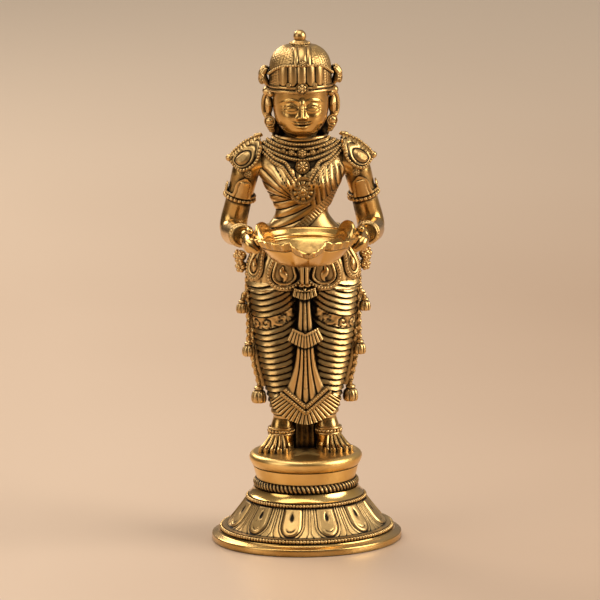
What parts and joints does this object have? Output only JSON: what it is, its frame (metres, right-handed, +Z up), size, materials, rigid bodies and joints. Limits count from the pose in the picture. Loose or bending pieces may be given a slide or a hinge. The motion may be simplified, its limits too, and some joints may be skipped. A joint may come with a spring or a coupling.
{
  "type": "oil lamp bearer figure",
  "caption": "Standing cast brass figure in draped dress on a turned lotus base, holding out a spouted oil-lamp bowl that lifts out of its hands.",
  "frame": {"origin": "centre of the foot ring's underside, on the surface that the lamp stands on", "axes": "+Z up, -Y the front that the figure faces, +X the figure's left"},
  "size_m": [0.1128, 0.1374, 0.3049],
  "materials": {
    "antique_brass": "cast brass, darkened in the recesses and rubbed bright on the high points",
    "polished_brass": "turned and polished brass with a light tarnish",
    "tie_hardware": "plain machined brass"
  },
  "bodies": {
    "figure": {"foot_ring": "antique_brass", "lotus_skirt": "antique_brass", "lotus_petals": "antique_brass", "lower_bead_ring": "antique_brass", "upper_bead_ring": "antique_brass", "base_collar": "antique_brass", "rope_ring": "antique_brass", "plinth_drum": "antique_brass", "tie_stud": "tie_hardware", "clamp_plate": "tie_hardware", "tie_nut": "tie_hardware", "left_foot": "antique_brass", "right_foot": "antique_brass", "left_anklet": "antique_brass", "right_anklet": "antique_brass", "hem_tail": "antique_brass", "left_leg_drape": "antique_brass", "right_leg_drape": "antique_brass", "front_pleat": "antique_brass", "hip_wrap": "antique_brass", "left_hip_loops": "antique_brass", "right_hip_loops": "antique_brass", "left_hip_knot": "antique_brass", "right_hip_knot": "antique_brass", "left_tassel_cord": "antique_brass", "right_tassel_cord": "antique_brass", "girdle": "antique_brass", "torso": "antique_brass", "neck_collar": "antique_brass", "long_necklace": "antique_brass", "medallion": "antique_brass", "left_upper_arm": "antique_brass", "right_upper_arm": "antique_brass", "left_forearm": "antique_brass", "right_forearm": "antique_brass", "left_armlet": "antique_brass", "right_armlet": "antique_brass", "left_shoulder_plate": "antique_brass", "right_shoulder_plate": "antique_brass", "left_bangle": "antique_brass", "right_bangle": "antique_brass", "left_hand": "antique_brass", "right_hand": "antique_brass", "head": "antique_brass", "left_ear_drop": "antique_brass", "right_ear_drop": "antique_brass", "crown": "antique_brass", "left_crown_flower": "antique_brass", "right_crown_flower": "antique_brass", "crown_finial": "antique_brass", "hair_braid": "antique_brass", "left_hair_lock": "antique_brass", "right_hair_lock": "antique_brass"},
    "bowl": {"lamp_bowl": "polished_brass"}
  },
  "joints": [
    {"name": "bowl_lift", "type": "slide", "parent": "figure", "child": "bowl", "axis": [0, -0.6, 0.8], "range_m": [0, 0.06]}
  ]
}
